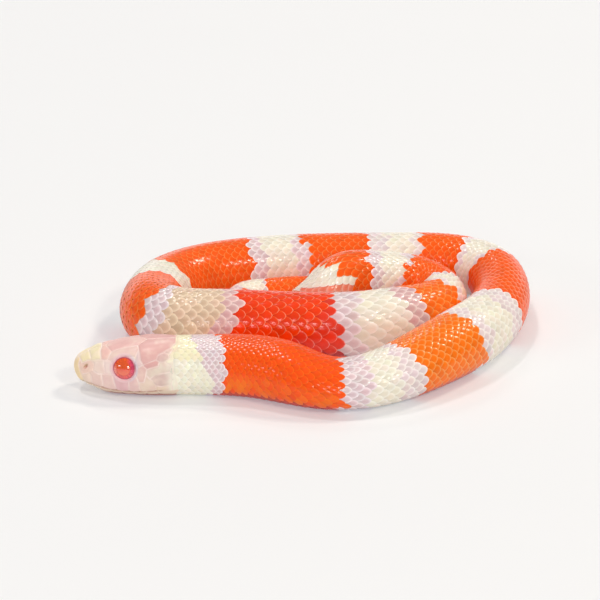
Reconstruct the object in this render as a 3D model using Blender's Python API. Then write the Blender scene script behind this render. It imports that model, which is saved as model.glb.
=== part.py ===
"""A hatchling milk snake, at rest on the floor in a flat coil, life size.

The body follows one smooth line from the neck to the tip of the tail. The line's stations say
where the belly lies and how wide and how high the body is there. The body is parted into a few
lengths, and the head has a lower jaw and two eyes of its own.
"""

import math

import bmesh
import bpy
import numpy as np
from mathutils import Matrix, Vector

MM = 0.001
GAP = 0.3 * MM              # clear space between touching pieces
CENTRE = (1.06, -12.13)     # middle of the coil in the route's own millimetres

# How the body is made
BELLY_CUT = 0.88            # height of the body's middle over its half height: a flat belly
BODY_SIDES = 20
RING_STEP = 1.7             # mm along the body from ring to ring
TAIL_TIP_LENGTH = 0.5       # mm that the last ring takes to close in a point

# The route from the neck to the tail's tip, in mm: x, y, lift of the belly, half width, half height
ROUTE = (
    # neck and front of the coil, from the left to the right
    (-14.00, -25.10, 0.0, 3.45, 3.45),
    (-9.60, -25.20, 0.0, 3.65, 3.52),
    (-5.20, -25.85, 0.0, 3.80, 3.62),
    (-1.10, -27.40, 0.0, 3.85, 3.48),
    (3.00, -28.70, 0.0, 3.90, 2.90),
    (7.20, -28.40, 0.0, 3.90, 2.85),
    (11.20, -26.40, 0.0, 3.95, 3.20),
    (15.40, -22.90, 0.0, 4.00, 3.65),
    (19.30, -18.60, 0.0, 4.00, 3.85),
    # right side and back of the coil
    (22.50, -13.40, 0.0, 3.75, 3.70),
    (24.30, -8.10, 0.0, 3.50, 3.60),
    (24.70, -3.00, 0.0, 3.45, 3.60),
    (23.40, 1.50, 0.0, 3.50, 3.62),
    (19.60, 4.15, 0.0, 3.62, 3.65),
    (13.50, 4.75, 0.0, 3.68, 3.68),
    (6.50, 4.60, 0.0, 3.70, 3.68),
    (-0.60, 4.20, 0.0, 3.70, 3.66),
    (-7.50, 2.90, 0.0, 3.72, 3.65),
    # left fold
    (-13.00, 0.50, 0.0, 3.75, 3.65),
    (-16.50, -3.50, 0.0, 3.85, 3.75),
    (-17.65, -8.50, 0.0, 4.00, 3.95),
    (-17.15, -12.50, 0.0, 4.12, 4.15),
    (-14.10, -15.15, 0.0, 4.18, 4.28),
    # front of the inner coil, from the left to the right
    (-9.80, -15.25, 0.0, 4.12, 4.20),
    (-4.00, -15.10, 0.0, 4.05, 4.05),
    (2.00, -15.20, 0.0, 4.00, 3.95),
    (8.20, -14.40, 0.0, 3.95, 3.90),
    (12.70, -12.20, 0.0, 3.75, 3.75),
    # inner bend on the right, then up over the tail
    (15.60, -9.90, 0.0, 3.45, 3.50),
    (17.10, -7.10, 0.1, 3.28, 3.35),
    (16.50, -4.50, 0.4, 3.20, 3.25),
    (14.00, -3.10, 1.0, 3.22, 3.22),
    (10.90, -3.55, 1.8, 3.18, 3.18),
    (7.80, -4.35, 2.5, 3.10, 3.10),
    (5.20, -5.50, 2.8, 3.00, 3.00),
    # down to the floor and back inside the left fold
    (3.20, -7.30, 1.6, 2.80, 2.78),
    (0.00, -8.15, 0.1, 2.48, 2.45),
    (-4.00, -8.15, 0.0, 2.32, 2.30),
    (-6.40, -7.40, 0.0, 2.30, 2.28),
    (-7.25, -5.60, 0.0, 2.25, 2.22),
    (-6.40, -3.75, 0.0, 2.20, 2.18),
    # the tail, to the right along the back of the coil and under the inner bend
    (-4.30, -2.95, 0.0, 2.15, 2.15),
    (-1.20, -2.45, 0.3, 2.05, 2.05),
    (2.60, -1.70, 0.3, 1.80, 1.80),
    (7.00, -0.80, 0.0, 1.45, 1.42),
    (11.00, -0.10, 0.0, 1.10, 1.08),
    (14.60, 0.25, 0.0, 0.80, 0.80),
    (17.80, 0.00, 0.0, 0.52, 0.52),
    (20.00, -0.90, 0.0, 0.28, 0.28),
)

# Lengths of the body: name and where each ends, in mm along the route from the neck's root
LENGTHS = (
    ("neck", 12.0),
    ("body_front", 35.0),
    ("body_right", 61.0),
    ("body_back", 88.0),
    ("body_left_fold", 119.0),
    ("body_inner_front", 140.0),
    ("body_inner_bend", 158.0),
    ("body_arch", 168.0),
    ("body_rear", 176.0),
    ("tail_base", 193.0),
    ("tail_tip", None),
)

# The head, in mm along it from the tip of the snout: how far back, half width, crown, chin
HEAD_STATIONS = (
    (0.12, 0.62, 3.45, 2.05),
    (0.45, 1.20, 3.95, 1.45),
    (1.05, 1.72, 4.35, 0.95),
    (2.30, 2.36, 4.93, 0.40),
    (4.10, 2.95, 5.45, 0.06),
    (5.90, 3.32, 5.82, 0.00),
    (7.90, 3.58, 6.12, 0.00),
    (9.90, 3.60, 6.32, 0.00),
    (11.70, 3.47, 6.48, 0.00),
)
SNOUT = (-26.00, -24.60)    # tip of the snout in the route's plane
SNOUT_HEIGHT = 2.75
HEAD_SIDES = 28
HEAD_RING_STEP = 0.65
CROWN_FLATNESS = 2.5        # 2 is a round crown, more is flatter
CHEEK_FLATNESS = 2.15
LIP_BULGE = 0.13            # mm that the lips stand out
LIP_SPREAD = 0.55           # mm above and below the mouth's line

# The line of the mouth in side view: mm back from the snout's tip, height
MOUTH_LINE = ((-1.0, 1.55), (1.3, 1.42), (4.0, 1.02), (7.0, 0.88), (10.3, 1.25))
JAW_BACK = 10.3             # mm from the snout to the jaw's corner

EYE_BACK = 6.15             # mm from the snout to the eye's middle
EYE_HEIGHT = 3.45
EYE_RADIUS = 1.28
EYE_PROUD = 0.30            # mm that the eye stands out of the cheek
SOCKET_GAP = 0.25
EYE_LOOK_UP = math.radians(14)

NOSTRIL_BACK = 1.55
NOSTRIL_HEIGHT = 3.30
NOSTRIL_RADIUS = 0.27
NOSTRIL_DEPTH = 0.35


def clear_scene():
    for obj in list(bpy.data.objects):
        bpy.data.objects.remove(obj, do_unlink=True)


def make_material(name, colour, roughness, coat=0.0):
    material = bpy.data.materials.new(name)
    material.use_nodes = True
    shader = material.node_tree.nodes["Principled BSDF"]
    shader.inputs["Base Color"].default_value = (*colour, 1.0)
    shader.inputs["Roughness"].default_value = roughness
    shader.inputs["Coat Weight"].default_value = coat
    material.diffuse_color = (*colour, 1.0)
    return material


def natural_spline(knots, values, wanted):
    """Smooth curve through the values at the knots, read at the wanted places."""
    knots = np.asarray(knots, float)
    values = np.asarray(values, float)
    count = len(knots)
    step = np.diff(knots)
    slope = np.diff(values, axis=0) / step[:, None]
    matrix = np.eye(count)
    right = np.zeros_like(values)
    for i in range(1, count - 1):
        matrix[i, i - 1] = step[i - 1]
        matrix[i, i] = 2 * (step[i - 1] + step[i])
        matrix[i, i + 1] = step[i]
        right[i] = 6 * (slope[i] - slope[i - 1])
    bend = np.linalg.solve(matrix, right)
    span = np.clip(np.searchsorted(knots, wanted) - 1, 0, count - 2)
    h = step[span][:, None]
    a = (knots[span + 1] - wanted)[:, None]
    b = (wanted - knots[span])[:, None]
    cubic = (bend[span] * a**3 + bend[span + 1] * b**3) / (6 * h)
    start = (values[span] / h - bend[span] * h / 6) * a
    end = (values[span + 1] / h - bend[span + 1] * h / 6) * b
    return cubic + start + end


class BodyLine:
    """The route as a smooth line that can be read at any distance from the neck's root."""

    FINE_STEP = 0.1

    def __init__(self, route):
        stations = np.array(route)
        hops = np.linalg.norm(np.diff(stations[:, :2], axis=0), axis=1)
        knots = np.concatenate(([0.0], np.cumsum(hops)))
        wanted = np.arange(0.0, knots[-1], self.FINE_STEP)
        fine = natural_spline(knots, stations, wanted)
        fine[:, 2] = np.maximum(fine[:, 2], 0.0)
        path = np.linalg.norm(np.diff(fine[:, :3], axis=0), axis=1)
        self.distance = np.concatenate(([0.0], np.cumsum(path)))
        self.fine = fine
        self.length = float(self.distance[-1])

    def read(self, along):
        return [float(np.interp(along, self.distance, column)) for column in self.fine.T]

    def frame(self, along):
        """Belly point, side, up, half width and half height, in mm."""
        x, y, lift, wide, high = self.read(along)
        back = self.read(max(along - 0.3, 0.0))
        ahead = self.read(min(along + 0.3, self.length))
        tangent = Vector((ahead[0] - back[0], ahead[1] - back[1], ahead[2] - back[2])).normalized()
        side = tangent.cross(Vector((0, 0, 1))).normalized()
        up = side.cross(tangent).normalized()
        return Vector((x, y, lift)), side, up, wide, high


def place(point):
    """A point of the route, in mm, in the part's own frame, in metres."""
    return Vector((point.x - CENTRE[0], point.y - CENTRE[1], max(point.z, 0.0))) * MM


def body_ring(bm, line, along):
    """One ring of the body: an ellipse whose belly is cut flat."""
    belly, side, up, wide, high = line.frame(along)
    middle = belly + up * (BELLY_CUT * high)
    ring = []
    for i in range(BODY_SIDES):
        angle = 2 * math.pi * (i + 0.5) / BODY_SIDES
        rise = max(math.sin(angle), -BELLY_CUT) * high
        ring.append(bm.verts.new(place(middle + side * (wide * math.cos(angle)) + up * rise)))
    return ring


def join_rings(bm, rings):
    for near, far in zip(rings, rings[1:]):
        for i in range(len(near)):
            j = (i + 1) % len(near)
            bm.faces.new((near[i], near[j], far[j], far[i]))


def mesh_object(bm, name, material, smooth_angle=50):
    bmesh.ops.recalc_face_normals(bm, faces=bm.faces)
    mesh = bpy.data.meshes.new(name)
    bm.to_mesh(mesh)
    bm.free()
    mesh.materials.append(material)
    mesh.shade_smooth()
    mesh.set_sharp_from_angle(angle=math.radians(smooth_angle))
    obj = bpy.data.objects.new(name, mesh)
    bpy.context.scene.collection.objects.link(obj)
    return obj


def body_length(line, name, start, end, material):
    """One length of the body, its two ends flat, with half a gap left at each."""
    half_gap = GAP / MM / 2
    start = start + half_gap
    tip = end is None
    end = line.length - TAIL_TIP_LENGTH if tip else end - half_gap
    count = max(2, round((end - start) / RING_STEP))
    bm = bmesh.new()
    rings = [body_ring(bm, line, start + (end - start) * i / count) for i in range(count + 1)]
    join_rings(bm, rings)
    bm.faces.new(rings[0])
    if tip:
        belly, side, up, wide, high = line.frame(line.length)
        point = bm.verts.new(place(belly + up * high))
        last = rings[-1]
        for i in range(BODY_SIDES):
            bm.faces.new((last[i], last[(i + 1) % BODY_SIDES], point))
    else:
        bm.faces.new(rings[-1])
    return mesh_object(bm, name, material)


class HeadShape:
    """The head's outer form, read at any place along it and any angle round it."""

    def __init__(self, stations, neck):
        self.table = np.array(stations)
        self.neck = neck            # x, y of the head's back end
        self.length = self.table[-1, 0]

    def read(self, back):
        knots = self.table[:, 0]
        values = natural_spline(knots, self.table[:, 1:], np.array([back]))[0]
        return float(values[0]), float(values[1]), max(float(values[2]), 0.0)

    def axis(self, back):
        """Middle of the head in the route's plane, so far back from the snout."""
        share = back / self.length
        x = SNOUT[0] + back
        y = SNOUT[1] + (self.neck[1] - SNOUT[1]) * share * share
        return x, y

    def point(self, back, angle):
        wide, crown, chin = self.read(back)
        half = (crown - chin) / 2
        middle = chin + half * (BELLY_CUT if chin < 0.01 else 1.0)
        cos, sin = math.cos(angle), math.sin(angle)
        flat = CROWN_FLATNESS if sin > 0 else CHEEK_FLATNESS
        out = wide * math.copysign(abs(cos) ** (2 / flat), cos)
        rise = math.copysign(abs(sin) ** (2 / flat), sin)
        height = middle + rise * ((crown - middle) if sin > 0 else half)
        height = max(height, chin if chin > 0.01 else 0.0)
        lip = LIP_BULGE * math.exp(-(((height - mouth_height(back)) / LIP_SPREAD) ** 2))
        if back < JAW_BACK:
            out += math.copysign(lip * abs(cos), cos)
        x, y = self.axis(back)
        return Vector((x, y + out, height))


def mouth_height(back):
    knots = [row[0] for row in MOUTH_LINE]
    heights = [[row[1]] for row in MOUTH_LINE]
    return float(natural_spline(knots, heights, np.array([min(max(back, -1.0), JAW_BACK)]))[0][0])


def whole_head(shape, material):
    """Head and lower jaw in one, before the mouth parts them."""
    bm = bmesh.new()
    first = shape.table[0, 0]
    last = shape.length - GAP / MM / 2
    close = [first, 0.25, 0.45, 0.75, 1.05, 1.5]
    count = round((last - close[-1]) / HEAD_RING_STEP)
    places = close + [close[-1] + (last - close[-1]) * (i + 1) / count for i in range(count)]
    rings = []
    for back in places:
        angles = [2 * math.pi * (i + 0.5) / HEAD_SIDES for i in range(HEAD_SIDES)]
        rings.append([bm.verts.new(place(shape.point(back, angle))) for angle in angles])
    join_rings(bm, rings)
    tip = bm.verts.new(place(Vector((SNOUT[0], SNOUT[1], SNOUT_HEIGHT))))
    for i in range(HEAD_SIDES):
        bm.faces.new((rings[0][i], rings[0][(i + 1) % HEAD_SIDES], tip))
    bm.faces.new(rings[-1])
    return mesh_object(bm, "head", material)


def mouth_block(name, offset, back_edge):
    """Everything below the mouth's line, moved up or down by the offset, as a cutting block."""
    side = 8.0
    below = -3.0
    steps = 12
    start = -1.0
    profile = []
    for i in range(steps + 1):
        back = start + (back_edge - start) * i / steps
        profile.append((back, mouth_height(back) + offset))
    profile.append((back_edge, below))
    profile.append((start, below))
    bm = bmesh.new()
    y_middle = SNOUT[1]
    near = []
    for back, height in profile:
        x = (SNOUT[0] + back - CENTRE[0]) * MM
        y = (y_middle - side - CENTRE[1]) * MM
        near.append(bm.verts.new((x, y, height * MM)))
    face = bm.faces.new(near)
    grown = bmesh.ops.extrude_face_region(bm, geom=[face])
    moved = [item for item in grown["geom"] if isinstance(item, bmesh.types.BMVert)]
    bmesh.ops.translate(bm, verts=moved, vec=(0, 2 * side * MM, 0))
    return cutter(mesh_object(bm, name, bpy.data.materials["skin_pale"]))


def cutter(obj):
    obj.hide_render = True
    obj.display_type = "WIRE"
    return obj


def apply_boolean(obj, tool, operation):
    modifier = obj.modifiers.new(tool.name, "BOOLEAN")
    modifier.operation = operation
    modifier.solver = "EXACT"
    modifier.object = tool
    depsgraph = bpy.context.evaluated_depsgraph_get()
    mesh = bpy.data.meshes.new_from_object(obj.evaluated_get(depsgraph))
    obj.modifiers.clear()
    obj.data = mesh
    bpy.data.objects.remove(tool, do_unlink=True)


def eye_centre(shape, side):
    """Centre of an eye, in the part's frame, and the way that it looks."""
    x, y = shape.axis(EYE_BACK)
    outermost = 0.0
    for step in range(60):
        angle = math.radians(step)
        cheek = shape.point(EYE_BACK, angle)
        if cheek.z > EYE_HEIGHT:
            break
        outermost = cheek.y - y
    out = outermost + EYE_PROUD - EYE_RADIUS
    look = Vector((-0.12, side * math.cos(EYE_LOOK_UP), math.sin(EYE_LOOK_UP))).normalized()
    return place(Vector((x, y + side * out, EYE_HEIGHT))), look


def ball(name, centre, radius, material, look=None):
    bm = bmesh.new()
    bmesh.ops.create_uvsphere(bm, u_segments=20, v_segments=12, radius=radius * MM)
    if look is not None:
        turn = look.to_track_quat("Z", "Y").to_matrix().to_4x4()
        bmesh.ops.transform(bm, matrix=turn, verts=bm.verts)
    bmesh.ops.translate(bm, verts=bm.verts, vec=centre)
    return mesh_object(bm, name, material)


def nostril_tool(shape, side):
    """A short slanting pin that leaves the nostril's pit."""
    x, y = shape.axis(NOSTRIL_BACK)
    reach = 0.0
    for step in range(80):
        snout = shape.point(NOSTRIL_BACK, math.radians(step))
        if snout.z > NOSTRIL_HEIGHT:
            break
        reach = snout.y - y
    centre = place(Vector((x, y + side * reach, NOSTRIL_HEIGHT)))
    look = Vector((-0.35, side, 0.15)).normalized()
    bm = bmesh.new()
    turn = look.to_track_quat("Z", "Y").to_matrix().to_4x4()
    bmesh.ops.create_cone(
        bm, cap_ends=True, segments=10, radius1=NOSTRIL_RADIUS * 0.6 * MM,
        radius2=NOSTRIL_RADIUS * MM, depth=2 * NOSTRIL_DEPTH * MM,
        matrix=Matrix.Translation(centre) @ turn)
    return cutter(mesh_object(bm, "nostril_tool", bpy.data.materials["skin_pale"]))


def build_head(skin, eye_colour):
    shape = HeadShape(HEAD_STATIONS, ROUTE[0])
    half_gap = GAP / MM / 2
    head = whole_head(shape, skin)
    jaw = bpy.data.objects.new("lower_jaw", head.data.copy())
    bpy.context.scene.collection.objects.link(jaw)
    apply_boolean(head, mouth_block("above", half_gap, JAW_BACK + half_gap), "DIFFERENCE")
    apply_boolean(jaw, mouth_block("below", -half_gap, JAW_BACK - half_gap), "INTERSECT")
    for name, side in (("eye_left", -1), ("eye_right", 1)):
        centre, look = eye_centre(shape, side)
        socket = ball("socket", centre, EYE_RADIUS + SOCKET_GAP, skin, look)
        apply_boolean(head, cutter(socket), "DIFFERENCE")
        ball(name, centre, EYE_RADIUS, eye_colour, look)
        apply_boolean(head, nostril_tool(shape, side), "DIFFERENCE")


def build_body(line, orange, pale):
    start = 0.0
    for i, (name, end) in enumerate(LENGTHS):
        body_length(line, name, start, end, pale if i % 2 else orange)
        start = end


def main():
    clear_scene()
    orange = make_material("skin_orange", (0.90, 0.11, 0.01), 0.32, coat=0.3)
    pale = make_material("skin_pale", (0.86, 0.78, 0.66), 0.32, coat=0.3)
    pink = make_material("skin_head", (0.82, 0.55, 0.53), 0.28, coat=0.4)
    red = make_material("eye", (0.75, 0.06, 0.02), 0.05, coat=1.0)
    build_head(pink, red)
    build_body(BodyLine(ROUTE), orange, pale)


main()
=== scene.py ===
"""The looks of a hatchling milk snake that lies coiled on the floor.

One skin runs from the snout to the tip of the tail, with the plates of the head worked into it.
The scales of the body and the scutes of the belly are thin solid plates that lie over the skin.
Lengths are in millimetres until a mesh is made.
"""

import math

import bmesh
import bpy
import numpy as np
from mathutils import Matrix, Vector, noise


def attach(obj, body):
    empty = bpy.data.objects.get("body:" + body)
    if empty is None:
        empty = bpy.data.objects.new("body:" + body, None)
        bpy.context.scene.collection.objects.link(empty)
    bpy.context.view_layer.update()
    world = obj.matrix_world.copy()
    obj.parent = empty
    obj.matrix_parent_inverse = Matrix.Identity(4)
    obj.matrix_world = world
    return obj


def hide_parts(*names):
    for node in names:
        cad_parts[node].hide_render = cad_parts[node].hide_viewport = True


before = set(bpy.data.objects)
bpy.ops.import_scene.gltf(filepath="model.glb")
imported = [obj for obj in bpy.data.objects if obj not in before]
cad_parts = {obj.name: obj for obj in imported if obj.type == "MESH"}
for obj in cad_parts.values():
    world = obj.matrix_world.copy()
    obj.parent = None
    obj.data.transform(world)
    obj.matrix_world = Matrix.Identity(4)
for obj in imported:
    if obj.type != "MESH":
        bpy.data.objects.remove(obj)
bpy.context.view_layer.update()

MM = 0.001
CENTRE = (1.06, -12.13)     # middle of the coil in the route's own millimetres
BELLY_CUT = 0.88            # height of the body's middle over its half height: a flat belly
FINE_STEP = 0.1

# The route from the neck to the tail's tip: x, y, lift of the belly, half width, half height
ROUTE = (
    # neck and front of the coil, from the left to the right
    (-14.00, -25.10, 0.0, 3.45, 3.45),
    (-9.60, -25.20, 0.0, 3.65, 3.52),
    (-5.20, -25.85, 0.0, 3.80, 3.62),
    (-1.10, -27.40, 0.0, 3.85, 3.48),
    (3.00, -28.70, 0.0, 3.90, 2.90),
    (7.20, -28.40, 0.0, 3.90, 2.85),
    (11.20, -26.40, 0.0, 3.95, 3.20),
    (15.40, -22.90, 0.0, 4.00, 3.65),
    (19.30, -18.60, 0.0, 4.00, 3.85),
    # right side and back of the coil
    (22.50, -13.40, 0.0, 3.75, 3.70),
    (24.30, -8.10, 0.0, 3.50, 3.60),
    (24.70, -3.00, 0.0, 3.45, 3.60),
    (23.40, 1.50, 0.0, 3.50, 3.62),
    (19.60, 4.15, 0.0, 3.62, 3.65),
    (13.50, 4.75, 0.0, 3.68, 3.68),
    (6.50, 4.60, 0.0, 3.70, 3.68),
    (-0.60, 4.20, 0.0, 3.70, 3.66),
    (-7.50, 2.90, 0.0, 3.72, 3.65),
    # left fold
    (-13.00, 0.50, 0.0, 3.75, 3.65),
    (-16.50, -3.50, 0.0, 3.85, 3.75),
    (-17.65, -8.50, 0.0, 4.00, 3.95),
    (-17.15, -12.50, 0.0, 4.12, 4.15),
    (-14.10, -15.15, 0.0, 4.18, 4.28),
    # front of the inner coil, from the left to the right
    (-9.80, -15.25, 0.0, 4.12, 4.20),
    (-4.00, -15.10, 0.0, 4.05, 4.05),
    (2.00, -15.20, 0.0, 4.00, 3.95),
    (8.20, -14.40, 0.0, 3.95, 3.90),
    (12.70, -12.20, 0.0, 3.75, 3.75),
    # inner bend on the right, then up over the tail
    (15.60, -9.90, 0.0, 3.45, 3.50),
    (17.10, -7.10, 0.1, 3.28, 3.35),
    (16.50, -4.50, 0.4, 3.20, 3.25),
    (14.00, -3.10, 1.0, 3.22, 3.22),
    (10.90, -3.55, 1.8, 3.18, 3.18),
    (7.80, -4.35, 2.5, 3.10, 3.10),
    (5.20, -5.50, 2.8, 3.00, 3.00),
    # down to the floor and back inside the left fold
    (3.20, -7.30, 1.6, 2.80, 2.78),
    (0.00, -8.15, 0.1, 2.48, 2.45),
    (-4.00, -8.15, 0.0, 2.32, 2.30),
    (-6.40, -7.40, 0.0, 2.30, 2.28),
    (-7.25, -5.60, 0.0, 2.25, 2.22),
    (-6.40, -3.75, 0.0, 2.20, 2.18),
    # the tail, to the right along the back of the coil and under the inner bend
    (-4.30, -2.95, 0.0, 2.15, 2.15),
    (-1.20, -2.45, 0.3, 2.05, 2.05),
    (2.60, -1.70, 0.3, 1.80, 1.80),
    (7.00, -0.80, 0.0, 1.45, 1.42),
    (11.00, -0.10, 0.0, 1.10, 1.08),
    (14.60, 0.25, 0.0, 0.80, 0.80),
    (17.80, 0.00, 0.0, 0.52, 0.52),
    (20.00, -0.90, 0.0, 0.28, 0.28),
)

# The head, along it from the tip of the snout: how far back, half width, crown, chin
HEAD_STATIONS = (
    (0.12, 0.62, 3.45, 2.05),
    (0.45, 1.20, 3.95, 1.45),
    (1.05, 1.72, 4.35, 0.95),
    (2.30, 2.36, 4.93, 0.40),
    (4.10, 2.95, 5.45, 0.06),
    (5.90, 3.32, 5.82, 0.00),
    (7.90, 3.58, 6.12, 0.00),
    (9.90, 3.60, 6.32, 0.00),
    (11.70, 3.47, 6.48, 0.00),
)
SNOUT = (-26.00, -24.60)    # tip of the snout in the route's plane
SNOUT_HEIGHT = 2.75
HEAD_LENGTH = 12.0          # from the snout to the root of the neck
CROWN_FLATNESS = 2.5        # 2 is a round crown, more is flatter
CHEEK_FLATNESS = 2.15
LIP_BULGE = 0.13
LIP_SPREAD = 0.55
MOUTH_LINE = ((-1.0, 1.55), (1.3, 1.42), (4.0, 1.02), (7.0, 0.88), (10.3, 1.25))
JAW_BACK = 10.3             # from the snout to the corner of the mouth

# The skin and what lies over it
SKIN_DEPTH = 0.20           # how far the skin lies below the outer surface, under a full-size scale
HEAD_SKIN_DEPTH = 0.02
HEAD_SIDES = 240
HEAD_RING_STEP = 0.065
BODY_SIDES = 48
BODY_RING_STEP = 0.45
BELLY_ARC = 80              # degrees round the body that the belly scutes take
SCALE_THICKNESS = 0.055
SCALE_RISE = 0.165          # how much higher a scale's tip lies than its front
SCALE_DOME = 0.062          # height of its domed middle
ROW_SPREAD = 0.22           # 0 spaces the rows evenly, more draws them together on the back

# Length of a scale along the body, at places along the route
SCALE_LENGTH = (
    (-1, 0.95), (1.2, 0.80), (2.5, 0.72), (6, 0.84), (10, 0.96), (21, 1.08), (45, 1.10), (60, 1.15),
    (91, 1.15), (100, 1.05), (106, 0.88), (114, 0.82), (117, 0.95), (120, 1.35), (122, 1.62),
    (140, 1.62), (146, 1.20), (156, 1.05), (168, 1.00), (190, 0.92), (203, 0.70), (210, 0.50),
)

# Rows of scales round the body, from one side of the belly to the other: where each count starts
SCALE_ROWS = ((0, 35), (5, 31), (12, 27), (20, 25), (41, 23), (168, 19), (180, 15), (188, 13),
              (195, 11), (201, 9), (206, 7))
VENT = 178.0                # where the belly's single plates end

# The pieces that the scales are made in, and the stretch of the body that each covers
SCALE_PIECES = (("scales_front", -9, 62), ("scales_back", 62, 114), ("scales_inner", 114, 168),
                ("scales_rear", 168, 999))

# Bands of colour, each from its front border on: where the border crosses the back, how much further
# along it lies on the right side, how much further at the belly, and the colour
BANDS = (
    (-20.0, 0, 0, "yellow"),
    (1.4, 1.3, 2.2, "lilac"),
    (4.6, 1.5, -0.9, "orange"),
    (19.1, 0, 0.2, "lilac"),
    (22.0, -0.2, -0.3, "cream"),
    (25.0, -0.6, 0, "pale_lilac"),
    (26.5, 0.6, 0.2, "amber"),
    (35.6, 0.5, 0.3, "pale_lilac"),
    (37.4, 0.3, 0, "cream"),
    (42.3, 0, 0, "pale_lilac"),
    (45.0, 0, 0, "red"),
    (57.2, 0, 0, "pale_lilac"),
    (58.0, 0, 0, "cream"),
    (61.3, 0, 0, "pale_lilac"),
    (62.3, 0, 0, "red"),
    (68.4, 0, 0, "pale_lilac"),
    (69.4, 0, 0, "cream"),
    (72.8, 0.4, 0, "pale_lilac"),
    (75.3, 1.0, -0.4, "red"),
    (83.3, 0.6, -0.4, "lilac"),
    (84.5, 0.3, 0, "cream"),
    (88.4, 0, 0, "lilac"),
    (90.1, 0, 0, "red"),
    (102.9, 0, 0, "cream"),
    (107.0, 0, 0, "red"),
    (113.6, 0, 0, "lilac"),
    (115.2, 0, 0, "sand"),
    (121.0, -0.7, -2.4, "rose"),
    (122.7, -0.6, -0.9, "deep_red"),
    (133.2, 0, -7.2, "crimson"),
    (133.6, 0.3, 1.4, "lilac"),
    (136.8, -0.1, 0, "cream"),
    (141.3, 0.4, 0, "rose"),
    (143.2, 0.5, 0.2, "tawny"),
    (149.0, 0, 0, "pale_lilac"),
    (149.7, 0, 0, "cream"),
    (151.7, 0, 0, "pale_lilac"),
    (152.4, 0, 0, "red"),
    (157.6, -1.2, 1.0, "lilac"),
    (158.5, -1.2, 1.0, "cream"),
    (161.8, 0, 0, "lilac"),
    (163.2, 0, 0, "red"),
    (165.9, 0.3, 0, "cream"),
    (170.2, 4.1, 0, "salmon"),
    (172.6, 0, 0, "lilac"),
    (173.4, 0, 0, "cream"),
    (175.3, 0, 0, "lilac"),
    (176.0, 0, 0, "red"),
    (180.2, 0, 0, "lilac"),
    (181.2, 0, 0, "cream"),
    (184.4, 0, 0, "lilac"),
    (185.3, 0, 0, "red"),
    (190.8, 0, 0, "lilac"),
    (191.5, 0, 0, "cream"),
    (193.5, 0, 0, "lilac"),
    (194.2, 0, 0, "red"),
    (198.6, 0, 0, "cream"),
    (201.2, 0, 0, "red"),
    (205.0, 0, 0, "cream"),
    (207.0, 0, 0, "red"),
)
BAND_COLOURS = np.array([row[3] for row in BANDS] + ["neck_side"])
BORDER_JITTER = 0.22        # how unevenly the scales change colour at a border, in scale lengths

# Each colour of the bands: middle of a scale, its rim (a paler edge, partly painted highlight where the
# rear edge catches the light), the skin between the scales, and a painted glint at a scale's tip
COLOURS = {
    "orange": ((253, 81, 0), (255, 103, 6), (246, 87, 6), (255, 126, 30)),
    "amber": ((254, 116, 4), (255, 162, 80), (250, 128, 48), (255, 192, 120)),
    "tawny": ((252, 106, 4), (255, 146, 60), (244, 108, 30), (255, 186, 112)),
    "red": ((253, 90, 0), (255, 134, 54), (249, 102, 32), (255, 172, 108)),
    "deep_red": ((242, 59, 0), (249, 97, 34), (222, 60, 14), (255, 170, 136)),
    "crimson": ((234, 56, 28), (246, 98, 76), (218, 58, 48), (254, 168, 158)),
    "salmon": ((240, 122, 92), (248, 172, 150), (240, 140, 112), (252, 200, 184)),
    "cream": ((237, 226, 206), (253, 246, 232), (245, 230, 213), (255, 250, 240)),
    "sand": ((216, 184, 156), (246, 220, 192), (232, 200, 170), (252, 232, 210)),
    "lilac": ((220, 190, 193), (249, 235, 236), (238, 215, 218), (253, 243, 244)),
    "pale_lilac": ((228, 206, 206), (252, 240, 235), (242, 222, 219), (255, 248, 246)),
    "rose": ((214, 166, 166), (244, 214, 210), (228, 186, 180), (252, 232, 226)),
    "yellow": ((250, 240, 202), (252, 243, 212), (248, 236, 206), (253, 246, 220)),
    "neck_side": ((244, 238, 214), (250, 246, 228), (242, 235, 213), (252, 249, 238)),
}
# How much of its rim's colour a scale has taken on just inside the rim
RIM_SHARES = {"orange": 0.15, "amber": 0.45, "tawny": 0.45, "red": 0.20, "deep_red": 0.12,
              "crimson": 0.20}
PALE_RIM_SHARE = 0.85       # for the other colours
# Painted shade: what the red colours darken to on the belly and the lowest rows, where the body meets the
# floor
BELLY_SHADE = {"orange": (188, 44, 48), "amber": (206, 84, 64), "tawny": (200, 64, 40),
              "red": (196, 56, 44), "deep_red": (180, 40, 40), "crimson": (180, 40, 46)}
BELLY_SHADE_SHARE = 0.75
YELLOWED = (253, 140, 22)   # what the orange turns to low on the side

# How strongly the scales stand out, at places along the route
SCALE_RELIEF = ((0, 0.30), (3, 0.50), (9, 0.75), (25, 0.9), (50, 1.0), (84, 0.9), (94, 0.37),
                (109, 0.37), (115, 1.0), (150, 1.0), (170, 0.8), (190, 0.6), (203, 0.35), (210, 0.15))

# Where the scaled coat begins on the head: mm round from the crown's middle, mm back from the snout
COAT_FRONT = ((0.0, 12.0), (1.1, 11.95), (2.0, 11.6), (2.8, 11.4), (4.7, 11.5), (6.3, 11.65),
              (7.5, 11.5), (11.0, 11.5))

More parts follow.
